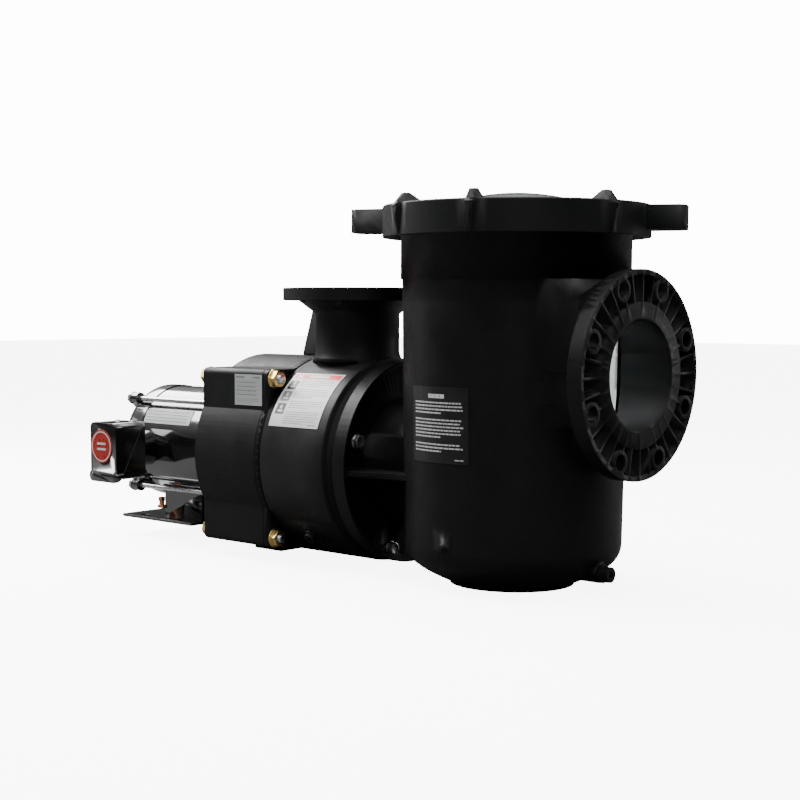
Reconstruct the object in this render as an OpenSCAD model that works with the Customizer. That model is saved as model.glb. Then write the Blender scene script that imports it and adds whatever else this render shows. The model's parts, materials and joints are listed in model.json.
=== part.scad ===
// Commercial pool pump: strainer pot, volute, motor bracket and motor on one line.
// Origin: on the base plane, under the axis of the strainer pot. +X leaves through the
// suction flange, -X runs along the shaft to the motor, +Z is up. Millimetres.

/* [Layout] */
// Height of the suction flange's centre
suction_z = 299; // [296:1:302]
// Height of the motor shaft
shaft_z = 159; // [158:0.5:160]
// From the pot's axis forward to the suction flange's face
suction_reach = 208.5; // [204:0.5:216]
// From the pot's axis back to the discharge axis
discharge_back = 301; // [299:1:303]
// Height of the discharge flange's face
discharge_z = 417; // [410:1:430]

/* [Flanges] */
// Outside diameter of the 6 inch suction flange
suction_od = 279.4; // [276:0.1:282]
// Bolt circle of the suction flange
suction_pcd = 241.3; // [240:0.1:242]
// Diameter of a suction bolt hole
suction_hole_d = 22.2; // [20:0.1:24]
// Diameter of the suction bore
suction_bore_d = 150; // [146:1:152]
// Thickness of the suction flange
suction_t = 21; // [19:0.5:23]
// Outside diameter of the 4 inch discharge flange
discharge_od = 228.6; // [226:0.1:230]
// Bolt circle of the discharge flange
discharge_pcd = 190.5; // [189:0.1:192]
// Diameter of a discharge bolt hole
discharge_hole_d = 19; // [17:0.1:20]
// Diameter of the discharge bore
discharge_bore_d = 102; // [98:1:104]
// Thickness of the discharge flange
discharge_t = 19; // [17:0.5:21]
// Bolts in each pipe flange
pipe_bolts = 8; // [8:8:8]

/* [Strainer pot] */
// Outside radius of the pot just below its upper band
pot_r = 158; // [156:0.5:159]
// Outside radius of the pot above its bottom knuckle
pot_low_r = 153.5; // [152:0.5:155]
// Wall of the pot
pot_wall = 8.5; // [7:0.5:10]
// Radius of the round foot under the pot
foot_r = 88; // [80:1:92]
// Height where the wider upper band begins
band_z = 427; // [424:1:430]
// Height of the pot's rim, where the lid rests
rim_z = 508; // [506:1:510]

/* [Lid and locking ring] */
// Outside radius of the locking ring
ring_r = 186; // [184:0.5:190]
// Height of the ring's bottom edge
ring_z0 = 484.5; // [483:0.5:486]
// Height of the ring's top face
ring_z1 = 528; // [525:0.5:529]
// Reach of a handle from the pot's axis
handle_reach = 234.5; // [230:0.5:240]
// Angle of the handles from the pump's line
handle_angle = 25.8; // [20:0.1:30]
// Rise of the clear dome above its own flange
dome_rise = 30; // [24:1:32]

/* [Pump] */
// Outside radius of the volute drum
drum_r = 153.8; // [152:0.1:155]
// Half width of the square bracket
bracket_half = 135; // [134:0.5:137]
// Outside radius of the impeller
impeller_r = 98; // [90:1:104]
// Impeller vanes
vanes = 6; // [5:1:7]

/* [Motor] */
// Outside radius of the motor's shell
shell_r = 94; // [92:0.5:96]
// Distance from the shaft to a through bolt, across and up
bolt_half = 74; // [73:0.5:76]
// Height of the foot plate's underside
plate_z = 30; // [28:1:32]

/* [Hidden] */

$fn = 64;
eps = 0.01;
gap = 0.3;

// Colours
plastic = [0.05, 0.05, 0.055];
gloss = [0.03, 0.03, 0.03];
steel = [0.72, 0.73, 0.75];
zinc = [0.80, 0.66, 0.30];
rubber = [0.08, 0.08, 0.08];

// Stations along the shaft, from the pot back to the motor
flange_x1 = -187;
flange_x0 = -209.5;
volute_x1 = -212;
drum_x1 = -226;
drum_x0 = -361;
bracket_x1 = -371;
bracket_x0 = -505;
shell_x1 = -553;
shell_x0 = -716;
motor_x0 = -770;
flange_ring_r = 151.6;
pot_foot_step = 3.7;
knuckle = [pot_low_r - 37, 60];
knuckle_r = 37;
crown_r = 250;
neck_r = 94;
neck_half = 97;
rear_neck_r = 96;
rear_bore_r = 74;
stud_yz = [[-119, -121], [119, -121], [119, 121], [-119, 121]];
stud_r = 7;
stud_hole_r = stud_r + 0.6;
nut_h = 12;
// The bolts between pot and volute, across and up from the shaft
flange_bolt_yz = [[-115.4, 36.3], [-40.2, -127.8], [115.4, -36.3], [40.2, 127.8]];
flange_bolt_r = 6;
// The motor's bolt pattern on the bracket, half across and half up
motor_bolt_half = 52.75;

function rad_pts(c, r, a0, a1, n) =
    [for (i = [0:n]) [c[0] + r * cos(a0 + (a1 - a0) * i / n), c[1] + r * sin(a0 + (a1 - a0) * i / n)]];

// Z of the children becomes +X, at shaft height
module on_shaft(x) {
    translate([x, 0, shaft_z]) rotate([0, 90, 0]) children();
}

// Z of the children becomes +X, on the suction axis
module on_suction(x) {
    translate([x, 0, suction_z]) rotate([0, 90, 0]) children();
}

// Straight cylinder along the shaft from x0 to x1
module rod_x(x0, x1, r) {
    on_shaft(x0) cylinder(r = r, h = x1 - x0);
}

module tube_x(x0, x1, r_out, r_in) {
    difference() {
        rod_x(x0, x1, r_out);
        rod_x(x0 - 1, x1 + 1, r_in);
    }
}

// Hexagon prism: across flats af, height h
module hex(af, h) {
    cylinder(d = af / cos(30), h = h, $fn = 6);
}

// Copies at each corner of the square bolt pattern about the shaft
module at_corners(half_y, half_z) {
    for (sy = [-1, 1], sz = [-1, 1])
        translate([0, sy * half_y, shaft_z + sz * half_z]) rotate([0, 90, 0]) children();
}

// ---------------------------------------------------------------- strainer pot

module pot_outside() {
    rotate_extrude()
        polygon(concat(
            [[0, 0], [foot_r, 0]],
            [for (r = [foot_r:11:132]) [r, pot_foot_step + sqrt(crown_r^2 - foot_r^2) - sqrt(crown_r^2 - r^2)]],
            rad_pts(knuckle, knuckle_r, -60, 0, 6),
            [[pot_r, band_z], [pot_r + 2.5, band_z], [pot_r + 2.5, rim_z - 20], [172, rim_z - 18],
             [172, rim_z - 4], [168, rim_z], [0, rim_z]]));
}

module pot_inside() {
    rotate_extrude()
        polygon(concat(
            [[0, 14], [60, 15.5], [90, 21], [116, 29]],
            rad_pts(knuckle, knuckle_r - pot_wall, -50, 0, 5),
            [[pot_r - pot_wall, 450], [153, 450], [153, rim_z + 1], [0, rim_z + 1]]));
}

// The suction neck is round below its axis and square-shouldered above it
module suction_neck() {
    on_suction(80) cylinder(r = neck_r, h = suction_reach - suction_t - 80 + eps);
    on_suction(suction_reach - suction_t - 22) cylinder(r1 = neck_r, r2 = 108, h = 22.1);
    translate([80, -neck_half, suction_z + 6]) cube([84, 2 * neck_half, band_z - suction_z - 8]);
    translate([164, 0, suction_z + 6]) rotate([0, -90, 180])
        linear_extrude(suction_reach - suction_t - 164)
            polygon([[0, -neck_half], [0, neck_half], [92, neck_half], [118, 62], [118, -62], [92, -neck_half]]);
}

// Face of the suction flange: a lip, a ring of cored pockets, ribs and bolt bosses
module suction_flange() {
    pocket_in = 97;
    pocket_out = suction_od / 2 - 7;
    pocket_depth = 14;
    ribs = 32;
    difference() {
        on_suction(suction_reach - suction_t) cylinder(d = suction_od, h = suction_t, $fn = 96);
        difference() {
            on_suction(suction_reach - pocket_depth) difference() {
                cylinder(r = pocket_out, h = pocket_depth + 1, $fn = 96);
                translate([0, 0, -1]) cylinder(r = pocket_in, h = pocket_depth + 3, $fn = 96);
            }
            on_suction(suction_reach - pocket_depth - 1) {
                for (i = [0:ribs - 1])
                    rotate([0, 0, i * 360 / ribs])
                        translate([pocket_in - 2, -1.6, 0]) cube([pocket_out - pocket_in + 4, 3.2, pocket_depth + 1]);
                for (i = [0:pipe_bolts - 1])
                    rotate([0, 0, (i + 0.5) * 360 / pipe_bolts])
                        translate([suction_pcd / 2, 0, 0]) cylinder(r = 16.5, h = pocket_depth + 1);
            }
        }
    }
}

// Flange towards the volute: a deep rim round a web, with side ribs back to the pot
module rear_flange() {
    rim = 6;
    web = 13;
    rib_t = 8.5;
    rib_z = shaft_z - 8;
    tube_x(flange_x0, flange_x1, flange_ring_r, flange_ring_r - rim);
    rod_x(flange_x0, flange_x0 + web, flange_ring_r - rim + eps);
    rod_x(flange_x0, -90, rear_neck_r);
    translate([0, 0, rib_z - rib_t / 2]) linear_extrude(rib_t)
        polygon([[flange_x1 - 6, -146], [-92, -122], [-92, 122], [flange_x1 - 6, 146]]);
}

module strainer_pot() {
    drain_z = 29;
    color(plastic) difference() {
        union() {
            pot_outside();
            suction_neck();
            suction_flange();
            rear_flange();
            // drain boss at the front of the bottom
            translate([110, 0, drain_z]) rotate([0, 90, 0]) cylinder(r = 13, h = 40);
            // small moulded mark plate on the knuckle
            translate([0, -150.2, 66]) rotate([90, 0, 0]) cylinder(r = 6, h = 6);
        }
        pot_inside();
        on_suction(100) cylinder(d = suction_bore_d, h = 130, $fn = 96);
        rod_x(-240, -90, rear_bore_r);
        on_suction(suction_reach - suction_t - 30)
            for (i = [0:pipe_bolts - 1])
                rotate([0, 0, (i + 0.5) * 360 / pipe_bolts])
                    translate([suction_pcd / 2, 0, 0]) cylinder(d = suction_hole_d, h = 60);
        at_flange_bolts(-240) cylinder(r = flange_bolt_r + 0.5, h = 44);
        translate([100, 0, drain_z]) rotate([0, 90, 0]) cylinder(r = 8, h = 60);
        translate([145, 0, drain_z]) rotate([0, 90, 0]) cylinder(r = 9.8, h = 6);
        // gasket groove in the rim
        translate([0, 0, rim_z - 5]) difference() {
            cylinder(r = 165.3, h = 6, $fn = 96);
            translate([0, 0, -1]) cylinder(r = 158.7, h = 8, $fn = 96);
        }
    }
}

module pot_drain_plug() {
    color(plastic) translate([0, 0, 29]) rotate([0, 90, 0]) {
        translate([0, 0, 128]) cylinder(r = 7.7, h = 22.3);
        difference() {
            union() {
                translate([0, 0, 150.3]) cylinder(r = 12.5, h = 5);
                translate([0, 0, 155]) cylinder(r1 = 11.5, r2 = 10.6, h = 12);
            }
            translate([0, 0, 162]) cylinder(r = 5, h = 6, $fn = 6);
        }
    }
}

module pot_drain_oring() {
    color(rubber) translate([148.2, 0, 29]) rotate([0, 90, 0])
        rotate_extrude() translate([8.8, 0]) circle(r = 0.95, $fn = 16);
}

module caution_label() {
    label_z = [180, 282];
    function wall_at(z) = pot_low_r + (pot_r - pot_low_r) * (z - knuckle[1]) / (band_z - knuckle[1]);
    color([0.1, 0.1, 0.1]) rotate([0, 0, -114]) rotate_extrude(angle = 38.5)
        polygon([[wall_at(label_z[0]), label_z[0]], [wall_at(label_z[0]) + 0.5, label_z[0]],
                 [wall_at(label_z[1]) + 0.5, label_z[1]], [wall_at(label_z[1]), label_z[1]]]);
}

// -------------------------------------------------------------------- strainer

basket_z0 = 66;
basket_z1 = 456;
basket_low_r = 139;
basket_top_r = 145;

module basket() {
    rows = 4;
    columns = 14;
    slot_h = 58;
    color([0.9, 0.9, 0.88]) difference() {
        rotate_extrude($fn = 96)
            polygon([[0, basket_z0], [basket_low_r, basket_z0], [basket_top_r, basket_z1 - 6],
                     [152, basket_z1 - 5.7], [152, basket_z1], [basket_top_r - 3, basket_z1],
                     [basket_low_r - 3, basket_z0 + 4], [0, basket_z0 + 4]]);
        // inlet facing the suction bore
        on_suction(90) cylinder(r = 79, h = 80);
        for (row = [0:rows - 1], i = [0:columns - 1])
            translate([0, 0, basket_z0 + 24 + row * (slot_h + 28)])
                rotate([0, 0, 34 + i * (360 - 68) / (columns - 1)])
                    translate([120, -4, 0]) cube([40, 8, slot_h]);
        for (r = [35:35:105], i = [0:r / 35 * 6 - 1])
            rotate([0, 0, i * 360 / (r / 35 * 6)])
                translate([r, 0, basket_z0 - 1]) cylinder(r = 6, h = 6);
        // eyes for the bail
        translate([0, 160, basket_z1 - 22]) rotate([90, 0, 0]) cylinder(r = 3.1, h = 320);
    }
}

// Wire bail folded down on the basket's rim; it swings about the line through its ends
bail_z = basket_z1 - 22;

module basket_bail() {
    wire_r = 3;
    bail_r = 132;
    color(steel) translate([0, 0, bail_z]) {
        rotate([0, 0, 180]) rotate([0, 0, -90]) rotate_extrude(angle = 180, $fn = 96)
            translate([bail_r, 0]) circle(r = wire_r, $fn = 24);
        for (s = [-1, 1])
            translate([0, s * (bail_r - 2.5), 0]) rotate([-s * 90, 0, 0]) cylinder(r = wire_r, h = 13.5);
    }
}

// ---------------------------------------------------------------- lid and ring

module lid() {
    flange_t = 8;
    dome_foot_r = 136;
    top_z = rim_z + flange_t + dome_rise;
    big_r = (dome_foot_r^2 + dome_rise^2) / (2 * dome_rise);
    centre_z = top_z - big_r;
    thick = 7;
    half = asin(dome_foot_r / big_r);
    color([0.75, 0.8, 0.82, 0.4]) rotate_extrude($fn = 96)
        polygon(concat(
            [[168, rim_z + gap], [168, rim_z + flange_t], [dome_foot_r, rim_z + flange_t]],
            rad_pts([0, centre_z], big_r, 90 - half, 90, 10),
            rad_pts([0, centre_z], big_r - thick, 90, 90 - half, 10),
            [[dome_foot_r - 4, rim_z + gap]]));
}

module lid_oring() {
    color(rubber) translate([0, 0, rim_z - 2.2]) rotate_extrude($fn = 96)
        translate([162, 0]) circle(r = 2.4, $fn = 24);
}

// Radial fin over the ring's shoulder, thinner towards its foot
module ring_fin() {
    height = ring_z1 - ring_z0;
    intersection() {
        rotate([90, 0, 0]) translate([0, 0, -10]) linear_extrude(20)
            polygon([[146, height - 2], [170, height + 12.5], [178, height + 12.5], [191.5, height - 4],
                     [190, height * 0.45], [ring_r, 2], [ring_r - 8, 2], [ring_r - 8, height - 2]]);
        translate([140, 0, 0]) rotate([90, 0, 90]) linear_extrude(60)
            polygon([[-2, 0], [2, 0], [6.5, height - 6], [6.5, height], [4.5, height + 14],
                     [-4.5, height + 14], [-6.5, height], [-6.5, height - 6]]);
    }
}

module lock_ring() {
    skirt_in = 175;
    top_t = ring_z1 - rim_z - 8.7;
    fin_angles = [-111, -71.2, -11];
    edge = 1.5;
    color(plastic) {
        rotate_extrude($fn = 96)
            polygon([[skirt_in, ring_z0], [ring_r, ring_z0], [ring_r, ring_z1 - edge], [ring_r - edge, ring_z1],
                     [142, ring_z1], [138.5, ring_z1 - 3], [138.5, ring_z1 - top_t], [skirt_in, ring_z1 - top_t]]);
        for (s = [0, 180]) {
            for (a = fin_angles) rotate([0, 0, a + s]) translate([0, 0, ring_z0]) ring_fin();
            rotate([0, 0, handle_angle + s]) difference() {
                translate([0, 0, ring_z0 + 8.5]) linear_extrude(33)
                    polygon([[skirt_in + 4, -30], [handle_reach - 9, -27], [handle_reach, -18],
                             [handle_reach, 18], [handle_reach - 9, 27], [skirt_in + 4, 30]]);
                translate([ring_r + 8, -17, ring_z0 + 5]) cube([handle_reach - ring_r - 16, 34, 28]);
            }
        }
    }
}

// ------------------------------------------------------- joint of pot and volute

module pot_gasket() {
    color(rubber) tube_x(volute_x1, flange_x0, 112, 80);
}

module at_flange_bolts(x) {
    for (p = flange_bolt_yz)
        translate([x, p[0], shaft_z + p[1]]) rotate([0, 90, 0]) children();
}

module pot_flange_bolts() {
    color(steel) at_flange_bolts(flange_x0 + 13) {
        cylinder(r = 10.8, h = 2.4);
        translate([0, 0, 2.4]) hex(18, 7.5);
        translate([0, 0, -30]) cylinder(r = flange_bolt_r, h = 30.1);
    }
}

module flange_inserts() {
    color("goldenrod") at_flange_bolts(volute_x1 - 20) difference() {
        cylinder(r = 9, h = 20);
        translate([0, 0, -1]) cylinder(r = flange_bolt_r, h = 22);
    }
}

// --------------------------------------------------------------------- volute

drain_tilt = 44;
cavity_r = 138;
cavity_x1 = -238;
cavity_x0 = -355;

// Outline shared by the bracket and the volute's rear flange: a square with round
// corners over a circle that bulges past its sides
module bracket_outline(grow = 0) {
    corner = 9;
    flat = bracket_half - corner;
    square([2 * flat, 2 * (bracket_half + grow)], center = true);
    square([2 * (bracket_half + grow), 2 * flat], center = true);
    for (sx = [-1, 1], sy = [-1, 1])
        translate([sx * flat, sy * flat]) circle(r = corner + grow, $fn = 32);
    circle(r = drum_r + grow, $fn = 96);
}

module at_volute_drain(r) {
    translate([-287, 0, shaft_z]) rotate([90 + drain_tilt, 0, 0]) translate([0, 0, r]) children();
}

module volute() {
    neck_out = discharge_bore_d / 2 + 13.2;
    neck_base = shaft_z + drum_r - 8;
    gusset_z = shaft_z + drum_r + gap;
    color(plastic) difference() {
        union() {
            rod_x(drum_x0 + 3, drum_x1 - 4, drum_r);
            on_shaft(drum_x1 - 4) cylinder(r1 = drum_r, r2 = drum_r - 4, h = 4);
            rod_x(bracket_x1, drum_x0 + 3.1, drum_r - 2.5);
            on_shaft(bracket_x1) linear_extrude(drum_x0 - bracket_x1) bracket_outline(-0.4);
            rod_x(drum_x1 - 1, volute_x1, 146);
            // discharge neck, flare, flange and gusset
            translate([-discharge_back, 0, shaft_z + 100]) cylinder(r = neck_out, h = discharge_z - shaft_z - 105);
            translate([-discharge_back, 0, discharge_z - discharge_t - 20]) cylinder(r1 = neck_out, r2 = 91, h = 20.1);
            translate([-discharge_back, 0, discharge_z - discharge_t])
                cylinder(d = discharge_od, h = discharge_t, $fn = 96);
            translate([-discharge_back, 0, neck_base]) cylinder(r1 = neck_out + 5.5, r2 = neck_out, h = 14);
            // the gusset reaches back over the bracket without touching it
            translate([0, 5, 0]) rotate([90, 0, 0]) linear_extrude(10)
                polygon([[bracket_x1, gusset_z], [-414, gusset_z], [-414, gusset_z + 4],
                         [-393, discharge_z - 32], [-372, discharge_z - 22], [-340, discharge_z - 22],
                         [-340, neck_base], [bracket_x1, neck_base]]);
            at_volute_drain(120) cylinder(r = 18, h = 38);
        }
        rod_x(cavity_x0 + 14, cavity_x1, cavity_r);
        rod_x(cavity_x0 - 30, cavity_x0 + 14.1, 132);
        rod_x(-260, -200, rear_bore_r);
        translate([-discharge_back, 0, shaft_z + 40]) cylinder(d = discharge_bore_d, h = 300, $fn = 96);
        translate([-discharge_back, 0, discharge_z - discharge_t - 30])
            for (i = [0:pipe_bolts - 1])
                rotate([0, 0, (i + 0.5) * 360 / pipe_bolts])
                    translate([discharge_pcd / 2, 0, 0]) cylinder(d = discharge_hole_d, h = 60);
        at_flange_bolts(volute_x1 - 20) cylinder(r = 9, h = 21);
        for (p = stud_yz)
            translate([bracket_x1 - 1, p[0], shaft_z + p[1]]) rotate([0, 90, 0]) cylinder(r = stud_hole_r, h = 12);
        at_volute_drain(110) cylinder(r = 7, h = 60);
        at_volute_drain(153.2) cylinder(r = 9, h = 6);
    }
    // front wall behind the boss, with the seat of the wear ring
    color(plastic) difference() {
        rod_x(cavity_x1 - 2, drum_x1 - 2, rear_bore_r + 2);
        rod_x(cavity_x1 - 3, drum_x1, 66);
    }
}

module volute_drain_plug() {
    color(plastic) at_volute_drain(0) {
        translate([0, 0, 142]) cylinder(r = 6.7, h = 16.5);
        difference() {
            union() {
                translate([0, 0, 158.4]) cylinder(r = 12, h = 3.5);
                translate([0, 0, 161.8]) cylinder(r = 9, h = 5);
            }
            translate([0, 0, 163]) cylinder(r = 5, h = 6, $fn = 6);
        }
    }
}

module volute_drain_oring() {
    color(rubber) at_volute_drain(156.4)
        rotate_extrude() translate([7.8, 0]) circle(r = 0.9, $fn = 16);
}

module warning_label() {
    color([0.95, 0.95, 0.95]) translate([0, 0, shaft_z]) rotate([0, -90, 0])
        translate([0, 0, 246]) rotate([0, 0, -70]) rotate_extrude(angle = 37)
            translate([drum_r, 0]) square([0.5, 102]);
}

// ------------------------------------------------------------------ wet end

module wear_ring() {
    color([0.85, 0.82, 0.7]) tube_x(-240, -224, 66, 58.4);
}

// Closed impeller: eye towards the pot, back-swept vanes between two shrouds
module impeller() {
    eye_r = 58;
    back_x = -300;
    front_x = -262;
    module vane() {
        intersection() {
            difference() {
                translate([0, 62, 0]) cylinder(r = 66, h = 40);
                translate([0, 62, -1]) cylinder(r = 62, h = 42);
            }
            translate([24, -40, 0]) cube([impeller_r, 140, 40]);
            difference() {
                cylinder(r = impeller_r - 2, h = 40);
                translate([0, 0, -1]) cylinder(r = 30, h = 42);
            }
        }
    }
    color([0.12, 0.12, 0.13]) {
        difference() {
            union() {
                rod_x(back_x - 6, back_x, impeller_r);
                on_shaft(back_x - 1) for (i = [0:vanes - 1]) rotate([0, 0, i * 360 / vanes]) vane();
                rod_x(back_x - 22, -268, 22);
                difference() {
                    union() {
                        rod_x(front_x, front_x + 6, impeller_r);
                        rod_x(front_x, -226, eye_r);
                    }
                    rod_x(front_x - 1, -220, eye_r - 7);
                }
            }
            rod_x(-330, -260, 12.7);
        }
    }
}

module impeller_screw() {
    color(steel) {
        rod_x(-268, -264, 17);
        on_shaft(-264) hex(19, 9);
        rod_x(-282, -267.9, 5);
    }
}

module seal_plate() {
    color(plastic) difference() {
        union() {
            rod_x(bracket_x1, cavity_x0 + 2, 131.6);
            rod_x(bracket_x1 - 6, bracket_x1, 140);
            rod_x(cavity_x0, -336, 40);
        }
        rod_x(-380, -330, 22);
        rod_x(-349, -330, 30);
        // groove for the body gasket
        tube_x(bracket_x1 + 6, bracket_x1 + 11.4, 140, 127);
    }
}

module seal_plate_oring() {
    color(rubber) on_shaft(bracket_x1 + 8.7) rotate_extrude($fn = 96)
        translate([129.5, 0]) circle(r = 2.4, $fn = 24);
}

module seal_seat() {
    color([0.93, 0.92, 0.88]) tube_x(-349, -338, 29.9, 17);
}

module seal_head() {
    color([0.2, 0.2, 0.22]) {
        tube_x(-337.6, -332, 25, 13.4);
        tube_x(-332.1, -328, 28, 13.4);
    }
}

module seal_spring() {
    coils = 4;
    color(steel) for (i = [0:coils - 1])
        on_shaft(-326.9 + i * 1.35) rotate_extrude()
            translate([18 + i * 1.2, 0]) circle(r = 0.65, $fn = 12);
}

// ------------------------------------------------------------------ bracket

module motor_bracket() {
    wall = 9;
    plate = 12;
    pad = [60, 80, 12];
    color(plastic) difference() {
        union() {
            on_shaft(bracket_x0) linear_extrude(bracket_x1 - bracket_x0) bracket_outline();
            // pad that stands on the base plane
            translate([bracket_x0 + 15, -pad[1] / 2, 0]) cube(pad);
        }
        difference() {
            on_shaft(bracket_x0 + plate) linear_extrude(bracket_x1 - bracket_x0 - plate - 16)
                bracket_outline(-wall);
            for (p = stud_yz)
                translate([bracket_x0, p[0], shaft_z + p[1]]) rotate([0, 90, 0]) cylinder(r = 15, h = 140);
        }
        rod_x(bracket_x1 - 20, bracket_x1 + 1, 112);
        rod_x(bracket_x1 - 6.1, bracket_x1 + 1, 140.3);
        rod_x(bracket_x0 - 1, bracket_x0 + 20, 57.3);
        for (p = stud_yz)
            translate([bracket_x0 - 1, p[0], shaft_z + p[1]]) rotate([0, 90, 0]) cylinder(r = stud_hole_r, h = 160);
        at_corners(motor_bolt_half, motor_bolt_half)
            translate([0, 0, bracket_x0 - 1]) cylinder(r = 5.2, h = 20);
        // drain slots under the bracket
        for (x = [-422, -402])
            translate([x, -30, shaft_z - drum_r - 2]) cube([10, 60, 20]);
    }
}

module rating_label() {
    color([0.75, 0.75, 0.75]) translate([-432, -bracket_half - 0.5, shaft_z + 80]) cube([60, 0.5, 47]);
}

module bracket_studs() {
    past_nut = 4.5;
    ends = nut_h + past_nut;
    color(steel) for (p = stud_yz)
        translate([bracket_x0 - ends, p[0], shaft_z + p[1]]) rotate([0, 90, 0])
            cylinder(r = stud_r, h = drum_x0 - bracket_x0 + 2 * ends);
}

module bracket_nuts() {
    color(zinc) for (p = stud_yz)
        translate([0, p[0], shaft_z + p[1]]) rotate([0, 90, 0]) {
            translate([0, 0, drum_x0]) flange_nut();
            translate([0, 0, bracket_x0]) mirror([0, 0, 1]) flange_nut();
        }
}

// Flanged hexagon nut standing on z = 0
module flange_nut() {
    difference() {
        union() {
            cylinder(r1 = 15, r2 = 13.6, h = 3);
            translate([0, 0, 2.5]) hex(23, nut_h - 2.5);
        }
        translate([0, 0, -1]) cylinder(r = stud_r, h = 16);
    }
}

module motor_bolts() {
    color(steel) at_corners(motor_bolt_half, motor_bolt_half) {
        translate([0, 0, bracket_x0 + 12]) hex(14, 6.5);
        translate([0, 0, bracket_x0 - 12]) cylinder(r = 4.9, h = 24.1);
    }
}

// -------------------------------------------------------------------- motor

front_bearing_x = [-545, -529];
rear_bearing_x = [-762, -747];

module shaft() {
    color(steel) difference() {
        union() {
            rod_x(-762.8, -746, 12.5);
            rod_x(-746, -560, 20);
            rod_x(-560, -546, 18);
            rod_x(-546, -420, 15);
            rod_x(-420, -270, 12.7);
        }
        // tapped end for the impeller screw
        rod_x(-283, -269, 5);
    }
}

module slinger() {
    color(rubber) difference() {
        union() {
            rod_x(-392, -388, 30);
            rod_x(-398, -388, 18);
        }
        rod_x(-400, -380, 12.7);
    }
}

module rotor_core() {
    color([0.55, 0.56, 0.58]) {
        tube_x(-700, -600, 47, 20);
        tube_x(-706, -700, 45, 26);
        tube_x(-600, -594, 45, 26);
    }
}

module rotor_fan() {
    blades = 9;
    color([0.3, 0.3, 0.32]) difference() {
        union() {
            rod_x(-742, -722, 27);
            rod_x(-742, -739, 70);
            on_shaft(-740) for (i = [0:blades - 1])
                rotate([0, 0, i * 360 / blades]) translate([22, -1.5, 0]) cube([48, 3, 14]);
        }
        rod_x(-745, -715, 20);
    }
}

// One race: ring from r_in to r_out with a ball track of radius track_r
module race(x, r_in, r_out, pitch_r, track_r, width) {
    on_shaft(x[0]) rotate_extrude() difference() {
        translate([r_in, 0]) square([r_out - r_in, width]);
        translate([pitch_r, width / 2]) circle(r = track_r, $fn = 32);
    }
}

module bearing_outer_rings() {
    color(steel) {
        race(front_bearing_x, 26.2, 31, 23, 4.8, 16);
        race(rear_bearing_x, 21.8, 26, 19.25, 4.1, 15);
    }
}

module bearing_inner_rings() {
    color(steel) {
        race(front_bearing_x, 15, 19.8, 23, 4.8, 16);
        race(rear_bearing_x, 12.5, 16.7, 19.25, 4.1, 15);
    }
}

module bearing_balls() {
    balls = 9;
    color(steel) for (i = [0:balls - 1]) {
        on_shaft(front_bearing_x[0] + 8) rotate([0, 0, i * 360 / balls]) translate([23, 0, 0]) sphere(r = 4.6, $fn = 32);
        on_shaft(rear_bearing_x[0] + 7.5) rotate([0, 0, i * 360 / balls]) translate([19.25, 0, 0]) sphere(r = 3.9, $fn = 32);
    }
}

module wave_spring() {
    color(steel) tube_x(rear_bearing_x[0] - 1.5, rear_bearing_x[0], 25, 21);
}

module stator_core() {
    slots = 24;
    color([0.45, 0.46, 0.5]) difference() {
        rod_x(-700, -600, 88);
        rod_x(-701, -599, 47.6);
        on_shaft(-701) for (i = [0:slots - 1])
            rotate([0, 0, i * 360 / slots]) translate([50, -3, 0]) cube([20, 6, 102]);
    }
}

module stator_windings() {
    color([0.72, 0.40, 0.2]) {
        for (x = [-724, -600]) on_shaft(x) rotate_extrude()
            polygon([[52, 0], [76, 0], [78, 6], [78, 18], [74, 24], [56, 24], [52, 18]]);
    }
}

module motor_shell() {
    color(gloss) difference() {
        tube_x(shell_x0, shell_x1, shell_r, 88);
        at_saddle() cylinder(r = 3, h = 20);
    }
}

// Lugs for the through bolts, from station x0 to x1
module bell_lugs(x0, x1) {
    bolt_r = bolt_half * sqrt(2);
    on_shaft(x0) for (a = [45:90:315]) rotate([0, 0, a]) {
        translate([bolt_r, 0, 0]) cylinder(r = 10, h = x1 - x0);
        translate([80, -10, 0]) cube([bolt_r - 80, 20, x1 - x0]);
    }
}

module front_end_bell() {
    color(gloss) difference() {
        union() {
            rod_x(shell_x1, -520, shell_r + 1.5);
            on_shaft(-520) cylinder(r1 = shell_r + 1.5, r2 = 86, h = 15);
            rod_x(bracket_x0 - 1, bracket_x0 + 6, 57.15);
            bell_lugs(shell_x1 + 1, -524);
        }
        rod_x(shell_x1 - 1, -546, 87);
        rod_x(-547, -544, 60);
        rod_x(-545.01, -529, 31);
        rod_x(-540, -490, 16.5);
        at_corners(bolt_half, bolt_half) translate([0, 0, -560]) cylinder(r = 4.6, h = 30);
        at_corners(motor_bolt_half, motor_bolt_half)
            translate([0, 0, bracket_x0 - 14]) cylinder(r = 4.9, h = 20);
    }
}

module rear_end_bell() {
    vents = 8;
    color(gloss) difference() {
        union() {
            rod_x(-742, shell_x0, shell_r + 1.5);
            on_shaft(-742) mirror([0, 0, 1]) rotate_extrude()
                polygon(concat([[0, 0]], rad_pts([shell_r - 20.5, 0], 22, 0, 90, 6), [[34, 24], [30, 28], [0, 28]]));
            bell_lugs(-752, -736);
        }
        rod_x(-738.6, shell_x0 + 1, 88);
        on_shaft(-738.5) mirror([0, 0, 1]) cylinder(r1 = 84, r2 = 62, h = 17);
        rod_x(-763.5, -740, 26);
        for (i = [0:vents - 1])
            on_shaft(-775) rotate([0, 0, (i + 0.5) * 360 / vents]) translate([40, -6, 0]) cube([22, 12, 30]);
        at_corners(bolt_half, bolt_half) translate([0, 0, -760]) cylinder(r = 4.6, h = 30);
    }
}

module through_bolts() {
    color(steel) at_corners(bolt_half, bolt_half) translate([0, 0, -765]) cylinder(r = 4.5, h = 233);
}

module through_bolt_nuts() {
    color(steel) at_corners(bolt_half, bolt_half) translate([0, 0, -752]) mirror([0, 0, 1]) difference() {
        hex(17, 9);
        translate([0, 0, -1]) cylinder(r = 4.5, h = 12);
    }
}

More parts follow.
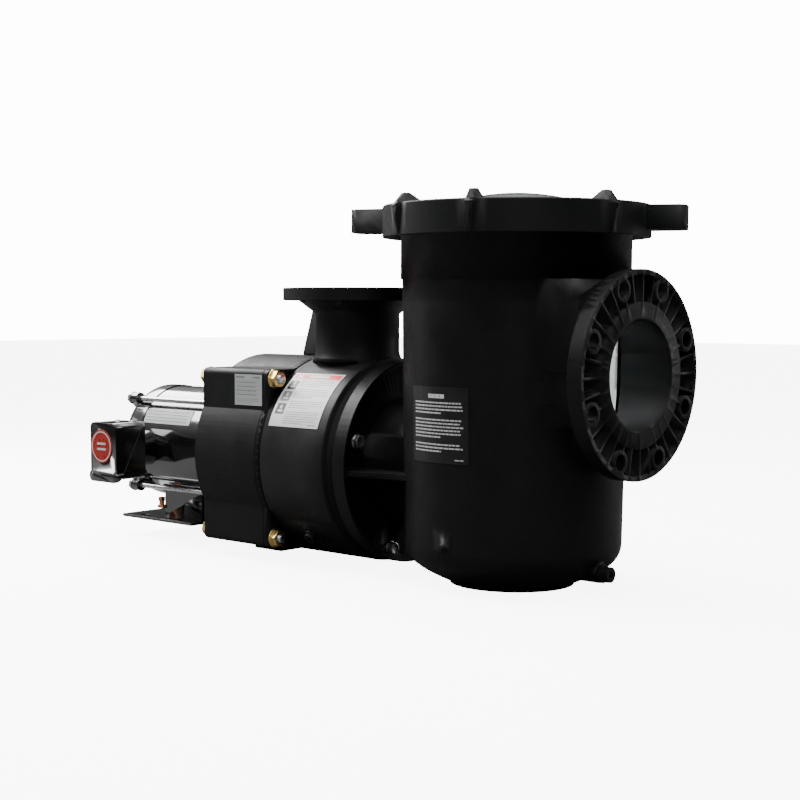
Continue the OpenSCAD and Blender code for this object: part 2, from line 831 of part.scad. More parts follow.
plate_t = 5;
plate_x = [-768, -590];
plate_half = 90;

// Welded cradle: slotted foot plate, two side plates, end plates and a curved saddle
module motor_base() {
    saddle_x = [-690, -596];
    saddle_t = 5;
    length = saddle_x[1] - saddle_x[0];
    color(gloss) difference() {
        union() {
            translate([plate_x[0], -plate_half, plate_z]) cube([plate_x[1] - plate_x[0], 2 * plate_half, plate_t]);
            for (s = [-1, 1])
                translate([saddle_x[0], s * 58 - 3, plate_z]) cube([length, 6, 60]);
            for (x = [saddle_x[0], saddle_x[1] - 6])
                translate([x, -58, plate_z]) cube([6, 116, 60]);
            intersection() {
                rod_x(saddle_x[0], saddle_x[1], shell_r + saddle_t);
                translate([saddle_x[0] - 1, -64, plate_z]) cube([length + 2, 128, 70]);
            }
        }
        rod_x(-800, -560, shell_r);
        for (x = [-722, -636], s = [-1, 1]) {
            translate([x - 8, s * 76, plate_z - 1]) cylinder(r = 5.5, h = 8);
            translate([x + 8, s * 76, plate_z - 1]) cylinder(r = 5.5, h = 8);
            translate([x - 8, s * 76 - 5.5, plate_z - 1]) cube([16, 11, 8]);
        }
        at_saddle() cylinder(r = 3.1, h = 20);
    }
}

// Radial screw places, Z pointing outwards and down from the shaft
module at_saddle() {
    for (x = [-668, -618], a = [-24, 24])
        translate([x, 0, shaft_z]) rotate([180 + a, 0, 0]) translate([0, 0, 86]) children();
}

module saddle_screws() {
    color(steel) at_saddle() {
        translate([0, 0, 3]) cylinder(r = 3, h = 10.1);
        translate([0, 0, shell_r + 5 - 86]) hex(10, 4.5);
    }
}

module ground_lug() {
    color([0.8, 0.4, 0.25]) {
        translate([-704, -66, 48]) cube([14, 12, 5]);
        translate([-700, -60, 50]) cylinder(r = 4.5, h = 14);
        translate([-700, -60, 60]) rotate([0, 0, 20]) hex(11, 6);
    }
}

// ---------------------------------------------------------------- conduit box

box_x = [-735, -668];
box_y = [-181, -120];
box_z = [106, 199];
box_wall = 3.5;
box_mid = [(box_x[0] + box_x[1]) / 2, (box_z[0] + box_z[1]) / 2];
box_neck_r = 30;
// The cover meets the box on a sloping plane, through this edge at the top
split_top = [-122, 199];
split_tilt = 62.4;
gasket_t = 0.8;
conduit_y = -137;
cover_screw_x = [box_mid[0] - 18, box_mid[0] + 18];
cover_screw_y = -136;

// Upright block with rounded corners between two depths, grown by a margin
module box_block(y_near, y_far, grow, z = box_z) {
    corner = 9;
    w = box_x[1] - box_x[0] + 2 * grow;
    h = z[1] - z[0] + 2 * grow;
    translate([box_mid[0], y_far, (z[0] + z[1]) / 2]) rotate([90, 0, 0])
        linear_extrude(y_far - y_near) {
            square([w - 2 * corner, h], center = true);
            square([w, h - 2 * corner], center = true);
            for (sx = [-1, 1], sz = [-1, 1])
                translate([sx * (w / 2 - corner), sz * (h / 2 - corner)]) circle(r = corner, $fn = 32);
        }
}

// Slab between two distances in front of the sloping plane
module split_slab(d0, d1) {
    translate([box_mid[0] - 60, split_top[0], split_top[1]]) rotate([split_tilt, 0, 0])
        translate([0, -160, d0]) cube([120, 240, d1 - d0]);
}

module cover_screw_holes(r) {
    for (x = cover_screw_x) translate([x, cover_screw_y, box_z[1] - 22]) cylinder(r = r, h = 30);
}

module conduit_box() {
    tab = [44, 20, 7];
    color(gloss) difference() {
        union() {
            intersection() {
                difference() {
                    box_block(box_y[0], box_y[1], 0);
                    box_block(box_y[0] - 1, box_y[1] - box_wall, -box_wall);
                }
                split_slab(-150, 0);
            }
            translate([box_mid[0], box_y[1] + 60, box_mid[1]]) rotate([90, 0, 0]) cylinder(r = box_neck_r, h = 61);
            // tab for the cover's screws, carried under the cover's top on a strut from the back
            translate([box_mid[0] - tab[0] / 2, cover_screw_y - tab[1] / 2, box_z[1] - box_wall - tab[2] - gap])
                cube([tab[0], box_y[1] - cover_screw_y + tab[1] / 2 - 1, tab[2]]);
        }
        rod_x(-760, -640, shell_r);
        rod_x(-760, shell_x0, shell_r + 1.5);
        translate([box_mid[0], box_y[1] + 60, box_mid[1]]) rotate([90, 0, 0]) cylinder(r = 24, h = 68);
        translate([box_mid[0], conduit_y, box_z[0] - 8]) cylinder(r = 11.1, h = 16);
        cover_screw_holes(1.9);
    }
}

module conduit_cover() {
    lip_z = [103, 119];
    color(gloss) intersection() {
        difference() {
            union() {
                box_block(box_y[0], box_y[1], 0);
                box_block(box_y[0] - 2, box_y[1], 1.5, lip_z);
            }
            box_block(box_y[0] + box_wall, box_y[1] + 1, -box_wall);
            cover_screw_holes(2.2);
        }
        split_slab(gasket_t, 150);
    }
}

module cover_gasket() {
    color(rubber) intersection() {
        difference() {
            box_block(box_y[0], box_y[1], 0);
            box_block(box_y[0] - 1, box_y[1] + 1, -box_wall);
        }
        split_slab(0, gasket_t);
    }
}

module cover_screws() {
    color(steel) for (x = cover_screw_x) translate([x, cover_screw_y, 0]) {
        translate([0, 0, box_z[1]]) cylinder(r1 = 4, r2 = 3, h = 2.2);
        translate([0, 0, box_z[1] - 12]) cylinder(r = 1.9, h = 12.1);
    }
}

module terminal_block() {
    block = [46, 20, 16];
    screws = 4;
    color([0.85, 0.83, 0.75]) translate([box_mid[0] - block[0] / 2, box_y[1] - box_wall - gap - block[1], 132])
        cube(block);
    color("goldenrod") for (i = [0:screws - 1])
        translate([box_mid[0] + (i - (screws - 1) / 2) * 11, box_y[1] - box_wall - block[1], 140])
            rotate([90, 0, 0]) cylinder(r = 3, h = 3);
}

module cover_badge() {
    color([0.75, 0.15, 0.12]) translate([-705, box_y[0], 160]) rotate([90, 0, 0]) cylinder(r = 27.5, h = 1.2);
}

// Thin plates wrapped on the motor's shell
module shell_plate(x0, x1, a0, a1, t) {
    translate([0, 0, shaft_z]) rotate([0, -90, 0]) translate([0, 0, -x1])
        rotate([0, 0, -90 + a0]) rotate_extrude(angle = a1 - a0)
            translate([shell_r, 0]) square([t, x1 - x0]);
}

module nameplate() {
    color([0.8, 0.8, 0.8]) shell_plate(-712, -596, 22, 38, 0.8);
}

strainer_pot();
pot_drain_plug();
pot_drain_oring();
caution_label();
basket();
basket_bail();
lid();
lid_oring();
lock_ring();
pot_gasket();
pot_flange_bolts();
flange_inserts();
volute();
volute_drain_plug();
volute_drain_oring();
warning_label();
wear_ring();
impeller();
impeller_screw();
seal_plate();
seal_plate_oring();
seal_seat();
seal_head();
seal_spring();
motor_bracket();
rating_label();
bracket_studs();
bracket_nuts();
motor_bolts();
shaft();
slinger();
rotor_core();
rotor_fan();
bearing_outer_rings();
bearing_inner_rings();
bearing_balls();
wave_spring();
stator_core();
stator_windings();
motor_shell();
front_end_bell();
rear_end_bell();
through_bolts();
through_bolt_nuts();
motor_base();
saddle_screws();
ground_lug();
conduit_box();
conduit_cover();
cover_gasket();
cover_screws();
terminal_block();
cover_badge();
nameplate();
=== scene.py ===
import json
import math
import random

import bmesh
import bpy
from mathutils import Matrix, Vector


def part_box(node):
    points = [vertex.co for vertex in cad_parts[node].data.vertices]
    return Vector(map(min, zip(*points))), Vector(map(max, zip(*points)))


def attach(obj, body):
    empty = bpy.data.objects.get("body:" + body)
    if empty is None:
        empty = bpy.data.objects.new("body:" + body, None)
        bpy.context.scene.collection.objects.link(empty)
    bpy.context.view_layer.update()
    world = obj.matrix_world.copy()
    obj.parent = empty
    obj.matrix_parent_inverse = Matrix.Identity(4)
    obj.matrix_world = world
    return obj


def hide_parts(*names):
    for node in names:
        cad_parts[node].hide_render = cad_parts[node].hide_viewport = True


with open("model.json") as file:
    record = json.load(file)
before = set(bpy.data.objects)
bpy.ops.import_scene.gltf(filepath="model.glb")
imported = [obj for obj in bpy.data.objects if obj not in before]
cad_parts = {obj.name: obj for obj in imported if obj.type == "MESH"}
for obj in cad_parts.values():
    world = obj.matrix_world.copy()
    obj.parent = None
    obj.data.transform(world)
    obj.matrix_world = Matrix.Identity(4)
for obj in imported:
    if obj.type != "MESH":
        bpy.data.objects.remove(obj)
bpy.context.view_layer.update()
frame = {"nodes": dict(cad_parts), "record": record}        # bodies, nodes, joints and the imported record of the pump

MM = 0.001
ROOT = "pump"
SHAFT_Z = 159.0           # height of the shaft line, mm
DRUM_R = 153.8            # outside of the volute's drum
SHELL_R = 94.0            # outside of the motor shell
SKIN_SMOOTH = 32          # degrees between faces up to which a skin is shaded smooth
POT_DRAFT = 0.0122        # how much the pot's wall leans in per mm down
CAUTION_ARC = (-114, -75.5)      # degrees round the pot from +X
WARNING_ARC = (20, 57)           # degrees above the shaft line, on the -Y side
NAMEPLATE_ARC = (22, 38)
BACKDROP = 14.0           # brightness of the backdrop in the camera's view
SURROUND = 0.06           # brightness round the pump that its sides reflect
CEILING = 0.9             # brightness of the ceiling round the softbox
FLOOR_GLOW = 7.0          # lifts the floor to the backdrop's white in the camera's view
FLOOR_BOUNCE = 0.12       # how much light the floor throws back on the pump
NODE_BODY = {n: b for b, nodes in frame["record"]["behaviour"]["bodies"].items() for n in nodes}
NODE_SLOT = {s["node"]: s["material_slot"] for s in frame["record"]["subparts"]}


# ------------------------------------------------------------------ camera

CAMERA_PLACE = (1.28518, -1.70256, 0.3857)
CAMERA_TURN = (42.358, 5.53, 0.167)       # azimuth, downward pitch and roll, degrees
CAMERA_LENS = 67.97                       # mm, on a sensor 36 mm wide
CAMERA_SHIFT = (0.0330, 0.0688)


def make_camera():
    """The photograph's viewpoint: long lens, a little above the pump, at its suction end."""
    azimuth, pitch, roll = (math.radians(a) for a in CAMERA_TURN)
    level = math.cos(pitch)
    ahead = Vector((-math.sin(azimuth) * level, math.cos(azimuth) * level, -math.sin(pitch)))
    flat_right = Vector((math.cos(azimuth), math.sin(azimuth), 0))
    flat_up = flat_right.cross(ahead)
    right = flat_right * math.cos(roll) + flat_up * math.sin(roll)
    up = flat_up * math.cos(roll) - flat_right * math.sin(roll)
    data = bpy.data.cameras.new("camera")
    data.sensor_width = 36
    data.lens = CAMERA_LENS
    data.shift_x, data.shift_y = CAMERA_SHIFT
    data.clip_end = 100
    camera = bpy.data.objects.new("camera", data)
    bpy.context.scene.collection.objects.link(camera)
    turn = Matrix((right, up, -ahead)).transposed().to_4x4()
    camera.matrix_world = Matrix.Translation(CAMERA_PLACE) @ turn
    bpy.context.scene.camera = camera


# --------------------------------------------------------------- materials

class Paint:
    """A procedural material under construction: its node tree and its Principled shader."""

    def __init__(self, name, color, roughness, metallic=0.0, specular=0.5):
        self.material = bpy.data.materials.new(name)
        self.material.use_nodes = True
        self.tree = self.material.node_tree
        self.bsdf = self.tree.nodes["Principled BSDF"]
        self.coords = self.add("ShaderNodeTexCoord").outputs["Object"]
        self.normal = None
        self.color = color
        self.set("Base Color", (*color, 1))
        self.set("Roughness", roughness)
        self.set("Metallic", metallic)
        self.set("Specular IOR Level", specular)

    def add(self, kind, **values):
        node = self.tree.nodes.new(kind)
        for key, value in values.items():
            setattr(node, key, value)
        return node

    def link(self, output, socket):
        self.tree.links.new(output, socket)

    def set(self, socket, value):
        self.bsdf.inputs[socket].default_value = value

    def noise(self, scale, detail=4, roughness=0.55, stretch=(1, 1, 1)):
        mapping = self.add("ShaderNodeMapping")
        mapping.inputs["Scale"].default_value = stretch
        self.link(self.coords, mapping.inputs["Vector"])
        node = self.add("ShaderNodeTexNoise")
        node.inputs["Scale"].default_value = scale
        node.inputs["Detail"].default_value = detail
        node.inputs["Roughness"].default_value = roughness
        self.link(mapping.outputs["Vector"], node.inputs["Vector"])
        return node.outputs["Fac"]

    def ramp(self, value, low, high, out_low=0.0, out_high=1.0):
        node = self.add("ShaderNodeMapRange")
        limits = {"From Min": low, "From Max": high, "To Min": out_low, "To Max": out_high}
        for socket, number in limits.items():
            node.inputs[socket].default_value = number
        self.link(value, node.inputs["Value"])
        return node.outputs["Result"]

    def times(self, one, other):
        node = self.add("ShaderNodeMath", operation="MULTIPLY")
        for socket, value in zip(node.inputs, (one, other)):
            if isinstance(value, (int, float)):
                socket.default_value = value
            else:
                self.link(value, socket)
        return node.outputs["Value"]

    def mix_color(self, factor, one, other):
        node = self.add("ShaderNodeMix", data_type="RGBA")
        self.link(factor, node.inputs["Factor"])
        for socket, value in ((node.inputs[6], one), (node.inputs[7], other)):
            if isinstance(value, tuple):
                socket.default_value = (*value, 1)
            else:
                self.link(value, socket)
        return node.outputs[2]

    def tint(self, factor, other):
        """Mix the base colour towards another where factor is high."""
        current = self.bsdf.inputs["Base Color"]
        base = current.links[0].from_socket if current.links else self.color
        self.link(self.mix_color(factor, base, other), current)

    def rough(self, value):
        self.link(value, self.bsdf.inputs["Roughness"])

    def round_edges(self, radius):
        """Moulded and cast edges catch light as if slightly rounded."""
        node = self.add("ShaderNodeBevel", samples=4)
        node.inputs["Radius"].default_value = radius * MM
        self.normal = node.outputs["Normal"]
        self.link(self.normal, self.bsdf.inputs["Normal"])

    def bump(self, height, strength, distance):
        node = self.add("ShaderNodeBump")
        node.inputs["Strength"].default_value = strength
        node.inputs["Distance"].default_value = distance * MM
        self.link(height, node.inputs["Height"])
        if self.normal:
            self.link(self.normal, node.inputs["Normal"])
        self.normal = node.outputs["Normal"]
        self.link(self.normal, self.bsdf.inputs["Normal"])

    def dust(self, color, amount):
        """Pale dust that settles on faces that look up."""
        geometry = self.add("ShaderNodeNewGeometry")
        split = self.add("ShaderNodeSeparateXYZ")
        self.link(geometry.outputs["Normal"], split.inputs["Vector"])
        upward = self.ramp(split.outputs["Z"], 0.55, 1.0)
        patches = self.ramp(self.noise(14, 6), 0.42, 0.75)
        self.tint(self.times(self.times(upward, patches), amount), color)


def moulded(name, color, roughness, specular=0.14):
    """Glass-filled black plastic: fine grain, faint flow marks, scuffs and a little dust."""
    p = Paint(name, color, roughness, specular=specular)
    lighter = tuple(c * 1.9 + 0.002 for c in color)
    flow = p.ramp(p.noise(9, 5, 0.6, (1, 1, 0.35)), 0.35, 0.7)
    p.tint(p.times(flow, 0.55), lighter)
    scuff = p.ramp(p.noise(70, 8, 0.75, (1, 1, 0.2)), 0.66, 0.74)
    p.tint(p.times(scuff, 0.12), (0.05, 0.05, 0.052))
    p.rough(p.ramp(p.noise(28, 6), 0.3, 0.7, roughness - 0.07, roughness + 0.10))
    p.round_edges(1.3)
    p.bump(p.noise(900, 2), 0.16, 0.25)
    p.bump(p.noise(16, 4), 0.10, 1.6)
    p.dust((0.10, 0.10, 0.104), 0.10)
    return p.material


def enamel(name, color):
    """Glossy black machine paint with orange peel and a clear coat."""
    p = Paint(name, color, 0.14, specular=0.7)
    p.set("Coat Weight", 1.0)
    p.set("Coat IOR", 1.6)
    p.set("Coat Roughness", 0.05)
    p.rough(p.ramp(p.noise(40, 5), 0.35, 0.7, 0.09, 0.20))
    p.tint(p.times(p.ramp(p.noise(120, 7, 0.7), 0.62, 0.72), 0.35), (0.02, 0.02, 0.02))
    p.round_edges(1.0)
    p.bump(p.noise(230, 2), 0.10, 0.5)
    p.bump(p.noise(24, 3), 0.08, 1.2)
    return p.material


def metal(name, color, roughness=0.3, brush=(1, 1, 1), scale=260, wear=None):
    """Bare or plated metal with fine drawn marks and darker spots."""
    p = Paint(name, color, roughness, metallic=1.0)
    marks = p.noise(scale, 6, 0.6, brush)
    p.rough(p.ramp(marks, 0.3, 0.7, roughness - 0.08, roughness + 0.14))
    darker = tuple(c * 0.55 for c in color)
    p.tint(p.times(p.ramp(p.noise(60, 6), 0.5, 0.78), 0.7), wear or darker)
    p.round_edges(0.5)
    p.bump(marks, 0.12, 0.12)
    return p.material


def rubber(name):
    p = Paint(name, (0.018, 0.018, 0.018), 0.7, specular=0.3)
    p.tint(p.times(p.ramp(p.noise(50, 5), 0.4, 0.7), 0.6), (0.035, 0.035, 0.034))
    p.bump(p.noise(700, 3), 0.2, 0.2)
    return p.material


def pale_plastic(name, color, roughness=0.4):
    p = Paint(name, color, roughness, specular=0.45)
    p.set("Subsurface Weight", 0.08)
    p.tint(p.times(p.ramp(p.noise(22, 6), 0.45, 0.75), 0.5), tuple(c * 0.86 for c in color))
    p.rough(p.ramp(p.noise(45, 5), 0.3, 0.7, roughness - 0.08, roughness + 0.12))
    p.round_edges(0.8)
    p.bump(p.noise(600, 2), 0.1, 0.2)
    return p.material


def vinyl(name, color, roughness=0.32):
    """Printed label film, faintly uneven and scuffed."""
    p = Paint(name, color, roughness, specular=0.4)
    p.tint(p.times(p.ramp(p.noise(55, 6), 0.4, 0.72), 0.25), tuple(c * 0.8 for c in color))
    p.rough(p.ramp(p.noise(80, 5), 0.3, 0.7, roughness - 0.08, roughness + 0.12))
    p.bump(p.noise(150, 3), 0.06, 0.3)
    return p.material


def clear_plastic(name):
    """Clear moulded lid that lets the lamps through."""
    p = Paint(name, (0.93, 0.96, 0.97), 0.05, specular=0.5)
    p.set("Transmission Weight", 1.0)
    p.set("IOR", 1.45)
    p.rough(p.ramp(p.noise(35, 5), 0.35, 0.75, 0.02, 0.10))
    p.bump(p.noise(20, 3), 0.05, 1.0)
    output = p.tree.nodes["Material Output"]
    through = p.add("ShaderNodeBsdfTransparent")
    through.inputs["Color"].default_value = (0.90, 0.94, 0.95, 1)
    path = p.add("ShaderNodeLightPath")
    mix = p.add("ShaderNodeMixShader")
    p.link(path.outputs["Is Shadow Ray"], mix.inputs["Fac"])
    p.link(p.bsdf.outputs["BSDF"], mix.inputs[1])
    p.link(through.outputs["BSDF"], mix.inputs[2])
    p.link(mix.outputs["Shader"], output.inputs["Surface"])
    return p.material


def striped_metal(name, color, per_metre, strength):
    """Stacked sheet steel or wound wire: fine ridges across the shaft line."""
    p = Paint(name, color, 0.42, metallic=0.85)
    wave = p.add("ShaderNodeTexWave", bands_direction="X")
    wave.inputs["Scale"].default_value = per_metre
    wave.inputs["Distortion"].default_value = 0.6
    p.link(p.coords, wave.inputs["Vector"])
    p.tint(p.times(wave.outputs["Fac"], 0.5), tuple(c * 0.45 for c in color))
    p.bump(wave.outputs["Fac"], strength, 0.3)
    return p.material


MATERIALS = {
    "pot_plastic": moulded("pot_plastic", (0.0040, 0.0040, 0.0043), 0.40),
    "volute_plastic": moulded("volute_plastic", (0.0046, 0.0046, 0.0048), 0.46),
    "ring_plastic": moulded("ring_plastic", (0.0050, 0.0052, 0.0056), 0.50),
    "motor_paint": enamel("motor_paint", (0.0035, 0.0035, 0.0035)),
    "clear_lid": clear_plastic("clear_lid"),
    "white_plastic": pale_plastic("white_plastic", (0.80, 0.80, 0.78)),
    "rubber": rubber("rubber"),
    "steel": metal("steel", (0.56, 0.57, 0.58), 0.28),
    "yellow_zinc": metal("yellow_zinc", (0.72, 0.52, 0.20), 0.30, wear=(0.45, 0.33, 0.20)),
    "brass": metal("brass", (0.70, 0.52, 0.22), 0.3),
    "ceramic": pale_plastic("ceramic", (0.86, 0.84, 0.78), 0.2),
    "carbon": moulded("carbon", (0.02, 0.02, 0.02), 0.5, specular=0.3),
    "impeller_plastic": moulded("impeller_plastic", (0.03, 0.03, 0.033), 0.42, specular=0.3),
    "wear_plastic": pale_plastic("wear_plastic", (0.66, 0.60, 0.45)),
    "laminations": striped_metal("laminations", (0.30, 0.31, 0.33), 600, 0.5),
    "copper_winding": striped_metal("copper_winding", (0.60, 0.26, 0.10), 350, 0.9),
    "copper": metal("copper", (0.70, 0.32, 0.17), 0.35),
    "aluminium": metal("aluminium", (0.60, 0.61, 0.62), 0.4),
    "label_white": vinyl("label_white", (0.56, 0.56, 0.555)),
    "label_black": vinyl("label_black", (0.006, 0.006, 0.0065), 0.36),
    "label_grey": vinyl("label_grey", (0.34, 0.35, 0.35)),
    "plate_silver": vinyl("plate_silver", (0.40, 0.41, 0.42), 0.42),
    "badge_red": vinyl("badge_red", (0.30, 0.016, 0.012), 0.3),
    "terminal_plastic": pale_plastic("terminal_plastic", (0.70, 0.66, 0.54)),
}
INK_WHITE = vinyl("ink_white", (0.50, 0.50, 0.495), 0.4)
INK_BLACK = vinyl("ink_black", (0.016, 0.016, 0.016), 0.4)
INK_GREY = vinyl("ink_grey", (0.16, 0.16, 0.16), 0.4)
INK_RED = vinyl("ink_red", (0.72, 0.018, 0.014), 0.35)


# -------------------------------------------------------------- mesh tools

def finish_mesh(name, bm, materials, body, replaces=(), smooth=35):
    """Turns a bmesh in metres into a piece that rides a body and may stand for CAD nodes."""
    bmesh.ops.recalc_face_normals(bm, faces=bm.faces)
    mesh = bpy.data.meshes.new(name)
    bm.to_mesh(mesh)
    bm.free()
    for material in materials:
        mesh.materials.append(material)
    mesh.polygons.foreach_set("use_smooth", [True] * len(mesh.polygons))
    mesh.set_sharp_from_angle(angle=math.radians(smooth))
    piece = bpy.data.objects.new(name, mesh)
    bpy.context.scene.collection.objects.link(piece)
    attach(piece, body)
    if replaces:
        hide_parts(*replaces)
    return piece


def loft(bm, rings, place=Matrix(), material=0, closed=False):
    """Skins a list of rings, each a list of points. The ends are capped unless the loft closes on itself."""
    rows = [[bm.verts.new(place @ Vector(p)) for p in ring] for ring in rings]
    count = len(rows[0])
    pairs = list(zip(rows, rows[1:])) + ([(rows[-1], rows[0])] if closed else [])
    faces = []
    for low, high in pairs:
        for i in range(count):
            j = (i + 1) % count
            faces.append(bm.faces.new((low[i], low[j], high[j], high[i])))
    if not closed:
        faces.append(bm.faces.new(list(reversed(rows[0]))))
        faces.append(bm.faces.new(rows[-1]))
    for face in faces:
        face.material_index = material


def ring_points(radius, z, count, bend=None):
    """A ring about Z; bend(angle) returns a radius and height for each angle instead."""
    points = []
    for i in range(count):
        angle = 2 * math.pi * i / count
        r, h = bend(angle) if bend else (radius, z)
        points.append((r * math.cos(angle), r * math.sin(angle), h))
    return points


def hex_radius(across, angle):
    return across / 2 / math.cos((angle + math.pi / 6) % (math.pi / 3) - math.pi / 6)


def along(origin, axis, spin=0.0):
    """A placement whose Z is axis, in metres."""
    z = Vector(axis).normalized()
    turn = z.to_track_quat("Z", "Y").to_matrix().to_4x4()
    return Matrix.Translation(Vector(origin)) @ turn @ Matrix.Rotation(spin, 4, "Z")


def lathe(bm, profile, place=Matrix(), count=96, material=0):
    """Turns a closed profile of (radius, height) points that stays off the axis."""
    rings = [ring_points(r, z, count) for r, z in profile]
    loft(bm, rings, place, material, closed=True)


def hex_head(bm, across, height, place, material=0, dish=0.4 * MM):
    """Hexagon head, chamfered on top, with a shallow dished face."""
    inner = across / 2 * 0.93
    slope = math.tan(math.radians(30))

    def top(angle):
        r = hex_radius(across, angle)
        return r, height - (r - inner) * slope

    rings = [
        ring_points(0, 0, 48, lambda a: (hex_radius(across, a), 0)),
        ring_points(0, 0, 48, top),
        ring_points(inner, height, 48),
        ring_points(inner * 0.82, height, 48),
        ring_points(inner * 0.74, height - dish, 48),
    ]
    loft(bm, rings, place, material)


def hex_nut(bm, across, height, hole, place, material=0, washer=None):
    """Hexagon nut chamfered at the outer face, with an optional flange at its foot."""
    inner = across / 2 * 0.94
    slope = math.tan(math.radians(30))
    foot = washer[1] if washer else 0

    def top(angle):
        r = hex_radius(across, angle)
        return r, height - (r - inner) * slope

    rings = [ring_points(hole, 0, 48)]
    if washer:
        rings += [
            ring_points(washer[0], 0, 48),
            ring_points(washer[0], foot * 0.45, 48),
            ring_points(washer[0] * 0.96, foot * 0.7, 48),
            ring_points(0, 0, 48, lambda a: (hex_radius(across, a) * 1.01, foot)),
        ]
    rings += [
        ring_points(0, 0, 48, lambda a: (hex_radius(across, a), foot + 0.1 * MM)),
        ring_points(0, 0, 48, top),
        ring_points(inner, height, 48),
        ring_points(hole + 1.0 * MM, height, 48),
        ring_points(hole, height - 1.0 * MM, 48),
    ]
    loft(bm, rings, place, material, closed=True)


def threaded_rod(bm, radius, z0, z1, pitch, place, material=0, steps=5):
    """Rod with a helical thread between two heights and chamfered ends."""
    depth = pitch * 0.5
    rows = max(int((z1 - z0) / pitch * steps), 4)
    count = 24
    rings = [ring_points(radius - depth * 1.3, z0, count)]
    for k in range(rows + 1):
        z = z0 + (z1 - z0) * (k + 0.5) / (rows + 1)
        edge = min(1, (z - z0) / pitch, (z1 - z) / pitch)

        def bend(angle, z=z, edge=edge):
            phase = (z / pitch - angle / (2 * math.pi)) % 1
            groove = depth * (1 - min(1, abs(phase - 0.5) * 2.6))
            return radius - max(groove, depth * (1 - edge)), z

        rings.append(ring_points(0, 0, count, bend))
    rings.append(ring_points(radius - depth * 1.3, z1, count))
    loft(bm, rings, place, material)


def skin(node):
    """A welded, smooth-shaded copy of a CAD node that stands in for it."""
    bm = bmesh.new()
    bm.from_mesh(frame["nodes"][node].data)
    bmesh.ops.remove_doubles(bm, verts=bm.verts, dist=2e-6)
    bmesh.ops.dissolve_degenerate(bm, edges=bm.edges, dist=1e-6)
    for face in bm.faces:
        face.material_index = 0
    slot = NODE_SLOT[node]
    finish_mesh(node + "_skin", bm, [MATERIALS[slot]], NODE_BODY[node], (node,), SKIN_SMOOTH)


# ------------------------------------------------------------------ labels

class Sheet:
    """A thin label bent over a surface. place(u, v, lift) maps label millimetres to the row frame."""

    def __init__(self, place, width, height, thickness, columns=24):
        self.place, self.width, self.height, self.columns = place, width, height, columns
        self.bm = bmesh.new()
        self.top = thickness
        self.slab(0, 0, width, height, 0, thickness, 0)

    def slab(self, u0, v0, u1, v1, low, high, material):
        """A closed thin box over the rectangle, divided so that it follows the surface."""
        across = max(1, round(self.columns * (u1 - u0) / self.width))
        upward = max(1, round(self.columns * (v1 - v0) / self.height))
        grids = []
        for lift in (low, high):
            grids.append([[self.bm.verts.new(self.place(u0 + (u1 - u0) * i / across,
                                                        v0 + (v1 - v0) * j / upward, lift))
                           for i in range(across + 1)] for j in range(upward + 1)])
        faces = []
        for g in grids:
            for j in range(upward):
                for i in range(across):
                    faces.append((g[j][i], g[j][i + 1], g[j + 1][i + 1], g[j + 1][i]))
        a, b = grids
        for i in range(across):
            faces.append((a[0][i], a[0][i + 1], b[0][i + 1], b[0][i]))
            faces.append((a[-1][i], a[-1][i + 1], b[-1][i + 1], b[-1][i]))
        for j in range(upward):
            faces.append((a[j][0], a[j + 1][0], b[j + 1][0], b[j][0]))
            faces.append((a[j][-1], a[j + 1][-1], b[j + 1][-1], b[j][-1]))
        for corners in faces:
            self.bm.faces.new(corners).material_index = material

    def ink(self, u0, v0, u1, v1, material, level=0):
        base = self.top + 0.05 * level
        self.slab(u0, v0, u1, v1, base - 0.01, base + 0.05, material)

    def lines(self, u0, v_top, u1, rows, pitch, thick, material, seed, words=(3, 9), last=0.6):
        """Rows of word-like dashes."""
        rng = random.Random(seed)
        for row in range(rows):
            end = u0 + (u1 - u0) * (last if row == rows - 1 else rng.uniform(0.93, 1.0))
            u = u0
            v = v_top - row * pitch
            while u < end - 1.5:
                word = min(rng.uniform(*words), end - u)
                self.ink(u, v - thick, u + word, v, material)
                u += word + 1.1


def on_cylinder_z(radius_at, angle0, z0):
    """u runs round a vertical wall from angle0, v runs up from z0; all in millimetres and radians."""
    def place(u, v, lift):
        z = z0 + v
        r = radius_at(z)
        angle = angle0 + u / r
        return Vector(((r + lift) * math.cos(angle), (r + lift) * math.sin(angle), z)) * MM
    return place


def on_cylinder_x(radius, centre_z, x0, angle0):
    """u runs along +X from x0, v climbs round the cylinder from angle0 above the -Y side."""
    def place(u, v, lift):
        angle = angle0 + v / radius
        r = radius + lift
        return Vector((x0 + u, -r * math.cos(angle), centre_z + r * math.sin(angle))) * MM
    return place


def on_wall_y(x0, z0, y):
    def place(u, v, lift):
        return Vector((x0 + u, y - lift, z0 + v)) * MM
    return place


def size_of(node):
    low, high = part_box(node)
    return [v / MM for v in low], [v / MM for v in high]


def rows_of_text(sheet, blocks, u0, u1, ink, seed):
    """Paragraphs given as (top, rows, pitch, thickness)."""
    for number, (top, rows, pitch, thick) in enumerate(blocks):
        sheet.lines(u0, top, u1, rows, pitch, thick, ink, seed + number)


